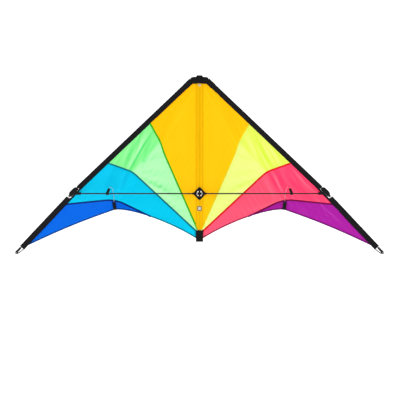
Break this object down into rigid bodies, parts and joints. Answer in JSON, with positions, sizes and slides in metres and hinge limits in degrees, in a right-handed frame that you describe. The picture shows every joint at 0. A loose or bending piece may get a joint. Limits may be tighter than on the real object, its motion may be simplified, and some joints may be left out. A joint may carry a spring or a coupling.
{
  "type": "delta stunt kite",
  "caption": "Two-line delta stunt kite: coloured ripstop sail on a folding rod frame, with leading-edge sleeves, lower spreaders, standoffs and bridle points.",
  "frame": {"origin": "middle of the centre tee's front face, where the bridle's middle leg pulls", "axes": "+X across the span to the right seen from the flyer's side, +Y away from the flyer, +Z from the tail to the nose"},
  "size_m": [1.3078, 0.1033, 0.6323],
  "materials": {
    "cloth_yellow": "smooth ripstop cloth",
    "cloth_mint": "smooth ripstop cloth",
    "cloth_lime": "smooth ripstop cloth",
    "cloth_cyan": "smooth ripstop cloth",
    "cloth_pink": "smooth ripstop cloth",
    "cloth_blue": "smooth ripstop cloth",
    "cloth_purple": "smooth ripstop cloth",
    "sleeve_cloth": "dense woven cloth",
    "webbing": "woven webbing",
    "elastic": "braided cover",
    "moulded_black": "moulded, lightly polished",
    "rubber_cap": "matt",
    "pale_rod": "smooth pultruded glass fibre",
    "dark_rod": "smooth pultruded glass fibre",
    "pale_plastic": "smooth",
    "badge_print": "printed"
  },
  "bodies": {
    "frame": {"spine": "dark_rod", "spine_cap": "rubber_cap", "centre_tee": "moulded_black", "nose_webbing": "webbing", "nose_tab": "webbing", "nose_eyelet": "pale_plastic", "centre_strip": "cloth_yellow", "centre_patch": "webbing", "badge": "badge_print", "tail_tab": "webbing", "panel_1_left": "cloth_yellow", "panel_2_left": "cloth_mint", "panel_3_left": "cloth_cyan", "panel_4_left": "cloth_blue", "hem_left": "cloth_blue", "pocket_left": "webbing", "panel_1_right": "cloth_yellow", "panel_2_right": "cloth_lime", "panel_3_right": "cloth_pink", "panel_4_right": "cloth_purple", "hem_right": "cloth_purple", "pocket_right": "webbing"},
    "wing_left": {"edge_rod_left": "pale_rod", "sleeve_upper_left": "sleeve_cloth", "sleeve_lower_left": "sleeve_cloth", "sleeve_band_left": "sleeve_cloth", "nose_strip_left": "webbing", "connector_left": "moulded_black", "stop_upper_left": "rubber_cap", "stop_lower_left": "rubber_cap", "nock_left": "moulded_black", "tip_loop_left": "elastic"},
    "wing_right": {"edge_rod_right": "pale_rod", "sleeve_upper_right": "sleeve_cloth", "sleeve_lower_right": "sleeve_cloth", "sleeve_band_right": "sleeve_cloth", "nose_strip_right": "webbing", "connector_right": "moulded_black", "stop_upper_right": "rubber_cap", "stop_lower_right": "rubber_cap", "nock_right": "moulded_black", "tip_loop_right": "elastic"},
    "spreader_left": {"spreader_left": "dark_rod", "tee_arm_left": "moulded_black"},
    "spreader_right": {"spreader_right": "dark_rod", "tee_arm_right": "moulded_black"},
    "standoff_left": {"clip_left": "moulded_black", "whisker_left": "pale_rod", "whisker_cap_left": "rubber_cap"},
    "standoff_right": {"clip_right": "moulded_black", "whisker_right": "pale_rod", "whisker_cap_right": "rubber_cap"},
    "tail_flap": {"tail_flap": "webbing"}
  },
  "joints": [
    {"name": "wing_left_fold", "type": "hinge", "parent": "frame", "child": "wing_left", "pos_m": [-0.018, 0.0134, 0.4136], "axis": [0, -1, 0], "range_deg": [0, 42], "deforming": ["panel_1_left", "panel_2_left", "panel_3_left", "panel_4_left", "hem_left", "pocket_left", "centre_strip"]},
    {"name": "wing_right_fold", "type": "hinge", "parent": "frame", "child": "wing_right", "pos_m": [0.018, 0.0134, 0.4136], "axis": [0, 1, 0], "range_deg": [0, 42], "deforming": ["panel_1_right", "panel_2_right", "panel_3_right", "panel_4_right", "hem_right", "pocket_right", "centre_strip"]},
    {"name": "spreader_left_swing", "type": "hinge", "parent": "frame", "child": "spreader_left", "pos_m": [-0.013, 0.005, 0], "axis": [0, -1, 0], "range_deg": [0, 88]},
    {"name": "spreader_right_swing", "type": "hinge", "parent": "frame", "child": "spreader_right", "pos_m": [0.013, 0.005, 0], "axis": [0, 1, 0], "range_deg": [0, 88]},
    {"name": "standoff_left_turn", "type": "hinge", "parent": "spreader_left", "child": "standoff_left", "pos_m": [-0.3245, 0.005, 0], "axis": [1, 0, 0], "range_deg": [0, 19]},
    {"name": "standoff_right_turn", "type": "hinge", "parent": "spreader_right", "child": "standoff_right", "pos_m": [0.3245, 0.005, 0], "axis": [1, 0, 0], "range_deg": [0, 19]},
    {"name": "tail_flap_open", "type": "hinge", "parent": "frame", "child": "tail_flap", "pos_m": [0, 0.0133, -0.1701], "axis": [-1, 0, 0], "range_deg": [0, 135]}
  ],
  "couplings": [
    {"joint": "spreader_left_swing", "follows": "wing_left_fold", "ratio": 2.095},
    {"joint": "spreader_right_swing", "follows": "wing_right_fold", "ratio": 2.095},
    {"joint": "standoff_left_turn", "follows": "wing_left_fold", "ratio": 0.452},
    {"joint": "standoff_right_turn", "follows": "wing_right_fold", "ratio": 0.452}
  ]
}
